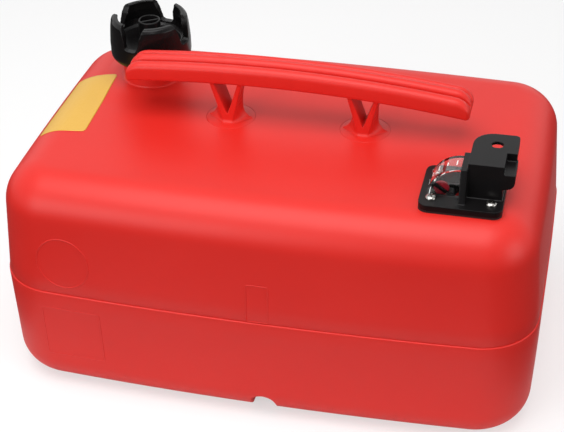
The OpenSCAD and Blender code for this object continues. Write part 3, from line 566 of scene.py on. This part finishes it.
# blank label over the left shoulder
label = {"corners": ((-224.6, -54), (-180.9, -48.6), (-185.2, 57.9), (-223.9, 50.6)), "width": 43, "length": 106,
         "radius": 4, "lift": 0.22, "film": 0.1, "across": 30, "along": 60, "castFrom": 300}
under = [BVHTree.FromPolygons([v.co for v in piece.data.vertices], [p.vertices for p in piece.data.polygons])
         for piece in (shell, neckPiece)]
bm = bmesh.new()
c, lw, ll, lr = (label[key] for key in ("corners", "width", "length", "radius"))
grid = []
for j in range(label["along"] + 1):
    row = []
    for i in range(label["across"] + 1):
        u, w = i / label["across"] * lw, j / label["along"] * ll
        cu, cw = min(max(u, lr), lw - lr), min(max(w, lr), ll - lr)
        away = math.hypot(u - cu, w - cw)
        if away > lr:
            u, w = cu + (u - cu) * lr / away, cw + (w - cw) * lr / away
        u, w = u / lw, w / ll
        x = (1 - w) * ((1 - u) * c[0][0] + u * c[1][0]) + w * ((1 - u) * c[3][0] + u * c[2][0])
        y = (1 - w) * ((1 - u) * c[0][1] + u * c[1][1]) + w * ((1 - u) * c[3][1] + u * c[2][1])
        hits = [tree.ray_cast((x * mm, y * mm, label["castFrom"] * mm), (0, 0, -1))[0] for tree in under]
        top = max(hit.z for hit in hits if hit)
        row.append(bm.verts.new((x * mm, y * mm, top + label["lift"] * mm)))
    grid.append(row)
for a, b in zip(grid, grid[1:]):
    bridge(bm, a, b, closed=False)
sticker = addPiece("blank_label", bm, vinyl, None)
modify(sticker, "SOLIDIFY", thickness=label["film"] * mm, offset=1)
print("label")

# carry handle: a three-lobed grip on two forked struts

grip = {"x": 6, "length": 316, "width": 34, "height": 20, "clearance": 41.5, "arch": 1316, "crest": -25,
        "topEnd": 14, "lowEnd": 4, "sideEnd": 4, "tip": 0.03, "lowEdge": 3,
        "lobes": ((-11.0, 6.0, 11.6), (2.6, 5.0, 13.4), (13.2, 3.8, 12.6)),
        "endSteps": 16, "middleSteps": 18, "edgeSteps": 5, "lobeSteps": 14, "valleySteps": 6}


def gripSection():
    # (across, up) from the middle of the underside: round lobes with narrow valleys between
    half, edge, steps = grip["width"] / 2, grip["lowEdge"], grip["edgeSteps"]
    out = turn(-half + edge, edge, edge, 180, 270, steps) + turn(half - edge, edge, edge, 270, 360, steps)
    lobes = grip["lobes"][::-1]
    for i, (c, r, z) in enumerate(lobes):
        out += turn(c, z, r, 0, 180, grip["lobeSteps"])
        if i < len(lobes) - 1:
            nextC, nextR, nextZ = lobes[i + 1]
            left, right = nextC + nextR, c - r
            valley = (right - left) / 2
            out += turn(left + valley, (z + nextZ) / 2, valley, 360, 180, grip["valleySteps"])[1:-1]
    return out


def roundEnd(r, d):
    # how far a rounded end has dropped at a distance from its tip
    return r - math.sqrt(r * r - max(r - d, 0) ** 2)


section, endSteps, middleSteps = gripSection(), grip["endSteps"], grip["middleSteps"]
stations = [grip["topEnd"] * (1 - math.cos(math.radians(90 * i / endSteps))) for i in range(endSteps + 1)]
stations[0] = grip["tip"]
middle = [grip["topEnd"] + (grip["length"] / 2 - grip["topEnd"]) * i / middleSteps for i in range(1, middleSteps + 1)]
half = [(grip["length"] / 2 - d, d) for d in stations + middle]
along = [(-x, d) for x, d in half] + [(x, d) for x, d in reversed(half[:-1])]
archZ = tank["height"] + grip["clearance"] - grip["arch"]
bm = bmesh.new()
rings = []
for x, d in along:
    top = grip["height"] - roundEnd(grip["topEnd"], d)
    low = roundEnd(grip["lowEnd"], d)
    slim = 1 - roundEnd(grip["sideEnd"], d) / (grip["width"] / 2)
    ring = []
    for t, h in section:
        up, away = grip["arch"] + low + h * (top - low) / grip["height"], grip["x"] + x - grip["crest"]
        ring.append(bm.verts.new(((grip["x"] + x) * mm, (feet["y"] + t * slim) * mm,
                                  (archZ + math.sqrt(up * up - away * away)) * mm)))
    rings.append(ring)
for a, b in zip(rings, rings[1:]):
    bridge(bm, a, b)
bm.faces.new(rings[0])
bm.faces.new(rings[-1])
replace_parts(addPiece("grip", bm, hdpe, "red_shell", sharpDeg=60), "carry_handle")

# struts: two thin legs that meet in a V, each with a web that flares to a point at its foot
strut = {"top": 43, "crotch": 8.1, "foot": 4.2, "lean": 0.26, "inner": 0.336, "front": 11.5, "frontLean": 0.08,
         "back": 10, "web": 12.2, "flare": 13, "tip": 20.8, "toe": 3.2, "voxel": 0.42, "rounds": 5,
         "footAt": (-1, 0, 0.3, 0.6, 1, 1.5, 2, 2.6, 3.2, 4, 5, 6, 7),
         "legAt": (6, 9, 10, 11, 12, 13, 16, 20, 25, 30, 36)}


def strutRing(h):
    # half widths at the inner side, the outer side and the web, then the front and back of the leg
    out = strut["foot"] + strut["lean"] * h
    web = strut["web"]
    if h < strut["flare"]:
        web += strut["flare"] - math.sqrt(strut["flare"] ** 2 - (strut["flare"] - max(h, 0)) ** 2)
    toe = strut["toe"] - math.sqrt(strut["toe"] ** 2 - (strut["toe"] - min(max(h, 0), strut["toe"])) ** 2)
    return ((h - strut["crotch"]) * strut["inner"], out, max(out + 0.2, min(web, strut["tip"])),
            -strut["front"] - strut["frontLean"] * h - toe, strut["back"] + toe)


def strutLoft(bm, x, heights, outline):
    last = None
    for h in sorted(heights):
        ring = [bm.verts.new(((x + p) * mm, (feet["y"] + q) * mm, (tank["height"] + h) * mm)) for p, q in outline(h)]
        if last:
            bridge(bm, last, ring)
        else:
            bm.faces.new(ring)
        last = ring
    bm.faces.new(last)


def footOutline(h):
    _, out, web, front, back = strutRing(h)
    return ((-out, front), (out, front), (web, 0), (out, back), (-out, back), (-web, 0))


def legOutline(h, side):
    inner, out, web, front, back = strutRing(h)
    inner = max(inner, 0)
    return ((side * inner, front), (side * out, front), (side * web, 0), (side * out, back), (side * inner, back))


bm = bmesh.new()
for x in feet["places"]:
    strutLoft(bm, x, strut["footAt"] + (strut["crotch"],), footOutline)
    for side in (-1, 1):
        strutLoft(bm, x, strut["legAt"] + (strut["crotch"], strut["top"]), lambda h: legOutline(h, side))
struts = addPiece("handle_struts", bm, hdpe, "red_shell")
softenEdges(struts, strut["voxel"], strut["rounds"])

# discs that the struts stand on, flush with the deck, each with a skirt under it
bm = bmesh.new()
top, roof, low = tank["height"], tank["height"] - tank["wall"], tank["height"] - feet["depth"]
r, skirt = feet["radius"], feet["skirt"]
for x in feet["places"]:
    lathe(bm, [(0, low), (skirt, low), (skirt, roof), (r, roof), (r, top - 0.25), (r - 0.15, top - 0.08),
               (r - 0.4, top), (0, top)], (x, feet["y"]), feet["steps"])
addPiece("strut_discs", bm, hdpe, "red_shell", sharpDeg=50)
print("handle")

# gauge screws with cross recesses
screws = {"places": ((144.5, -105, 20), (194.5, -105, 64), (144.5, -65, 35), (194.5, -65, 8)), "seat": 225,
          "head": 4.75, "edge": 1.0, "dome": 2.2, "shank": 2.5, "length": 15, "reach": 2.7, "slot": 0.5, "depth": 1.9,
          "steps": 48, "domeSteps": 6}
bm, cut = bmesh.new(), bmesh.new()
z0, hr, shank = screws["seat"], screws["head"], screws["shank"]
dome = [math.radians(90 * i / screws["domeSteps"]) for i in range(screws["domeSteps"])]
w, reach = screws["slot"], screws["reach"]
cross = ((w, reach), (w, w), (reach, w), (reach, -w), (w, -w), (w, -reach),
         (-w, -reach), (-w, -w), (-reach, -w), (-reach, w), (-w, w), (-w, reach))
topZ = z0 + screws["edge"] + screws["dome"]
for x, y, turned in screws["places"]:
    lathe(bm, [(0, z0 - screws["length"]), (shank, z0 - screws["length"]), (shank, z0), (hr, z0)]
          + [(hr * math.cos(a), z0 + screws["edge"] + screws["dome"] * math.sin(a)) for a in dome]
          + [(0, topZ)], (x, y), screws["steps"])
    ct, st = math.cos(math.radians(turned)), math.sin(math.radians(turned))
    prism(cut, [(x + p * ct - q * st, y + p * st + q * ct) for p, q in cross], topZ - screws["depth"], topZ + 2)
screwSet = addPiece("gauge_screw_set", bm, stainless, "stainless", sharpDeg=40)
cutAway(screwSet, cut, "recesses")
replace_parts(screwSet, "gauge_screws")

# the fin beside the lens stops at the lens's top, and the latch tab is a thin plate with a rim
trims = {"fin": ((166.5, -112, 252.8), (173.0, -71, 262)), "pocket": (193.4, -61, 10.5), "pocketLow": 245,
         "pocketSteps": 72, "plate": 3.0, "tabTop": 257.5, "voxel": 0.5, "rounds": 3}
housing = addPiece("housing_moulding", copyNode("gauge_housing"), nylon, "black_nylon")
bm = bmesh.new()
(x0, y0, z0), (x1, y1, z1) = trims["fin"]
prism(bm, [(x0, y0), (x1, y0), (x1, y1), (x0, y1)], z0, z1)
prism(bm, turn(*trims["pocket"], 0, 360, trims["pocketSteps"])[:-1], trims["pocketLow"],
      trims["tabTop"] - trims["plate"])
cutAway(housing, bm, "trims")
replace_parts(housing, "gauge_housing")
softenEdges(housing, trims["voxel"], trims["rounds"])

# filler cap's crown: the lugs stand upright and turn in close to their tips
lugs = {"inner": 20, "voxel": 0.5, "rounds": 2,
        "shift": ((267, 0), (275, 0.6), (280.8, 2.8), (283.3, 3.1), (285, 2.4))}  # (height, how far out)
crown = addPiece("crown_moulding", copyNode("cap_crown"), glossyCapNylonPaintedShade, "black_nylon", "cap")
softenEdges(crown, lugs["voxel"], lugs["rounds"])
bake(crown)
for v in crown.data.vertices:
    across, along, z = v.co.x / mm - neck["x"], v.co.y / mm - neck["y"], v.co.z / mm
    r = math.hypot(across, along)
    for (za, low), (zb, high) in zip(lugs["shift"], lugs["shift"][1:]):
        if r > lugs["inner"] and za < z <= zb:
            k = 1 + (low + (high - low) * (z - za) / (zb - za)) / r
            v.co.x, v.co.y = (neck["x"] + across * k) * mm, (neck["y"] + along * k) * mm
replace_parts(crown, "cap_crown")

# printed ticks on the lens
ticks = {"x": 167.5, "z": 225, "radius": 27.04, "film": 0.12, "half": 1.1,
         "rows": ((170, -92, -85), (152, -91, -86), (134, -92, -85), (116, -91, -86), (99, -92, -85))}
bm = bmesh.new()
for angle, front, back in ticks["rows"]:
    corners = []
    for r in (ticks["radius"], ticks["radius"] + ticks["film"]):
        for x, z in turn(ticks["x"], ticks["z"], r, angle - ticks["half"], angle + ticks["half"], 1):
            corners += [bm.verts.new((x * mm, y * mm, z * mm)) for y in (front, back)]
    for face in ((0, 1, 3, 2), (4, 6, 7, 5), (0, 4, 5, 1), (2, 3, 7, 6), (0, 2, 6, 4), (1, 5, 7, 3)):
        bm.faces.new([corners[k] for k in face])
addPiece("lens_ticks", bm, whiteInk, None)
print("screws and ticks")

# CAD nodes that keep their shape, with moulded edges and finishes

finishes = {
    "cap_insert": (nylon, "black_nylon"), "cap_liner": (acetal, "white_acetal"),
    "cap_gasket": (rubber, "black_rubber"), "vent_knob": (nylon, "black_nylon"),
    "vent_seal": (rubber, "black_rubber"),
    "gauge_gasket": (rubber, "black_rubber"), "gauge_lens": (pmma, "clear_lens"),
    "screw_inserts": (brass, "brass"),
    "gauge_pointer": (nylon, "black_nylon"), "pointer_disc": (redAcetal, "red_indicator"),
    "pointer_shaft": (stainless, "stainless"), "float_arm": (stainless, "stainless"),
    "float_body": (foam, "tan_float"), "float_clips": (stainless, "stainless"),
    "pickup_tube": (aluminium, "aluminium"), "pickup_strainer": (acetal, "white_acetal"),
    "outlet_nipple": (brass, "brass"), "outlet_valve": (brass, "brass"),
    "valve_spring": (stainless, "stainless"), "guide_pin": (stainless, "stainless")}
knobEdges = {"voxel": 0.35, "rounds": 4}
for name, (material, slotName) in finishes.items():
    nodes[name].data.materials.clear()
    nodes[name].data.materials.append(material)
softenEdges(nodes["vent_knob"], knobEdges["voxel"], knobEdges["rounds"])
print("CAD nodes finished")

# stage, light and camera

# the camera sees an even pale floor; the light it throws up fades in front of the tank and beside it
studio = {"size": 6, "seen": "b4b4b4", "glow": 0.56, "lit": "dcdcdc", "unlit": "303030", "unlitShare": 0.1,
          "front": (-0.42, -0.28), "side": (0.265, 0.33)}
floorMat, tree, bsdf, where = startMaterial("pale studio floor", Roughness=0.9, Specular_IOR_Level=0.0)
path = addNode(tree, "ShaderNodeLightPath")
split = addNode(tree, "ShaderNodeSeparateXYZ", None, None, {"Vector": (where, "Object")})
ahead = addNode(tree, "ShaderNodeMapRange", {"interpolation_type": "SMOOTHSTEP"},
                {"From Min": studio["front"][0], "From Max": studio["front"][1],
                 "To Min": studio["unlitShare"], "To Max": 1.0}, {"Value": (split, "Y")})
aside = addNode(tree, "ShaderNodeMath", {"operation": "ABSOLUTE"}, None, {0: (split, "X")})
beside = addNode(tree, "ShaderNodeMapRange", {"interpolation_type": "SMOOTHSTEP"},
                 {"From Min": studio["side"][0], "From Max": studio["side"][1],
                  "To Min": 1.0, "To Max": studio["unlitShare"]}, {"Value": (aside, 0)})
# painted pool of light: for reflected and bounced rays the floor's colour is pale near the tank and painted dark in
# front of it and beside it
paintedLightPool = addNode(tree, "ShaderNodeMath", {"operation": "MULTIPLY"}, None, {0: (ahead, 0), 1: (beside, 0)})
seen = addNode(tree, "ShaderNodeMath", {"operation": "MAXIMUM"}, None,
               {0: (path, "Is Camera Ray"), 1: (path, "Is Transmission Ray")})
around = addNode(tree, "ShaderNodeMix", {"data_type": "RGBA"},
                 {6: hexColour(studio["unlit"]), 7: hexColour(studio["lit"])}, {0: (paintedLightPool, 0)})
pale = addNode(tree, "ShaderNodeMix", {"data_type": "RGBA"}, {7: hexColour(studio["seen"])},
               {0: (seen, 0), 6: (around, 2)})
lift = addNode(tree, "ShaderNodeMath", {"operation": "MULTIPLY"}, {1: studio["glow"]}, {0: (seen, 0)})
tree.links.new(pale.outputs[2], bsdf.inputs["Base Color"])
tree.links.new(lift.outputs[0], bsdf.inputs["Emission Strength"])
bsdf.inputs["Emission Color"].default_value = hexColour("ffffff")
bm = bmesh.new()
bmesh.ops.create_grid(bm, x_segments=1, y_segments=1, size=studio["size"])
floor = makeObject("floor", bm)
floor.data.materials.append(floorMat)


def softbox(name, place, aim, size, power, colour="ffffff"):
    light = bpy.data.lights.new(name, "AREA")
    light.shape = "RECTANGLE"
    light.size, light.size_y = size
    light.energy = power
    light.color = hexColour(colour)[:3]
    obj = bpy.data.objects.new(name, light)
    obj.location = place
    obj.rotation_euler = (Vector(aim) - Vector(place)).to_track_quat("-Z", "Y").to_euler()
    scene.collection.objects.link(obj)
    return obj


softbox("overhead", (-0.1, -0.4, 1.5), (0.0, 0.0, 0.1), (1.4, 1.1), 16.5)
softbox("front left", (-0.95, -1.75, 0.95), (-0.05, 0.0, 0.25), (1.2, 1.0), 13.5)
softbox("right fill", (1.7, -0.5, 0.7), (0.0, 0.0, 0.1), (1.0, 1.0), 7.5)

# the room is white to the camera, and dimmer in reflections towards the right and the front
room = {"towards": (0.42, -0.88, -0.2), "from": (-0.1, 0.7), "mirrored": (1.0, 0.2), "diffuse": 0.42, "seen": 1.0}
world = bpy.data.worlds.new("white room")
world.use_nodes = True
scene.world = world
tree = world.node_tree
tree.nodes.clear()
path = addNode(tree, "ShaderNodeLightPath")
where = addNode(tree, "ShaderNodeTexCoord")
facing = addNode(tree, "ShaderNodeVectorMath", {"operation": "DOT_PRODUCT"}, {1: room["towards"]},
                 {0: (where, "Generated")})
side = addNode(tree, "ShaderNodeMapRange", {"interpolation_type": "SMOOTHSTEP"},
               {"From Min": room["from"][0], "From Max": room["from"][1],
                "To Min": room["mirrored"][0], "To Max": room["mirrored"][1]}, {"Value": (facing, "Value")})
fill = addNode(tree, "ShaderNodeMix", {"data_type": "FLOAT"}, {2: room["diffuse"]},
               {0: (path, "Is Glossy Ray"), 3: (side, 0)})
seen = addNode(tree, "ShaderNodeMath", {"operation": "MAXIMUM"}, None,
               {0: (path, "Is Camera Ray"), 1: (path, "Is Transmission Ray")})
level = addNode(tree, "ShaderNodeMix", {"data_type": "FLOAT"}, {3: room["seen"]}, {0: (seen, 0), 2: (fill, 0)})
sky = addNode(tree, "ShaderNodeBackground", None, {"Color": hexColour("ffffff")}, {"Strength": (level, 0)})
addNode(tree, "ShaderNodeOutputWorld", None, None, {"Surface": (sky, 0)})

view = {"place": (0.2572, -1.0630, 0.8649), "forward": (-0.2009, 0.8006, -0.5645),
        "right": (0.9731, 0.2295, -0.0208), "focalPx": 1385.8, "widthPx": 564, "sensorMm": 36}
camData = bpy.data.cameras.new("camera")
camData.sensor_width = view["sensorMm"]
camData.lens = view["focalPx"] / view["widthPx"] * view["sensorMm"]
camera = bpy.data.objects.new("camera", camData)
scene.collection.objects.link(camera)
f = Vector(view["forward"]).normalized()
r = (Vector(view["right"]) - f * f.dot(Vector(view["right"]))).normalized()
u = r.cross(f)
camera.matrix_world = Matrix.Translation(view["place"]) @ Matrix((r, u, -f)).transposed().to_4x4()
scene.camera = camera
camData.dof.use_dof = False

scene.view_settings.view_transform = "Standard"
print("stage ready")
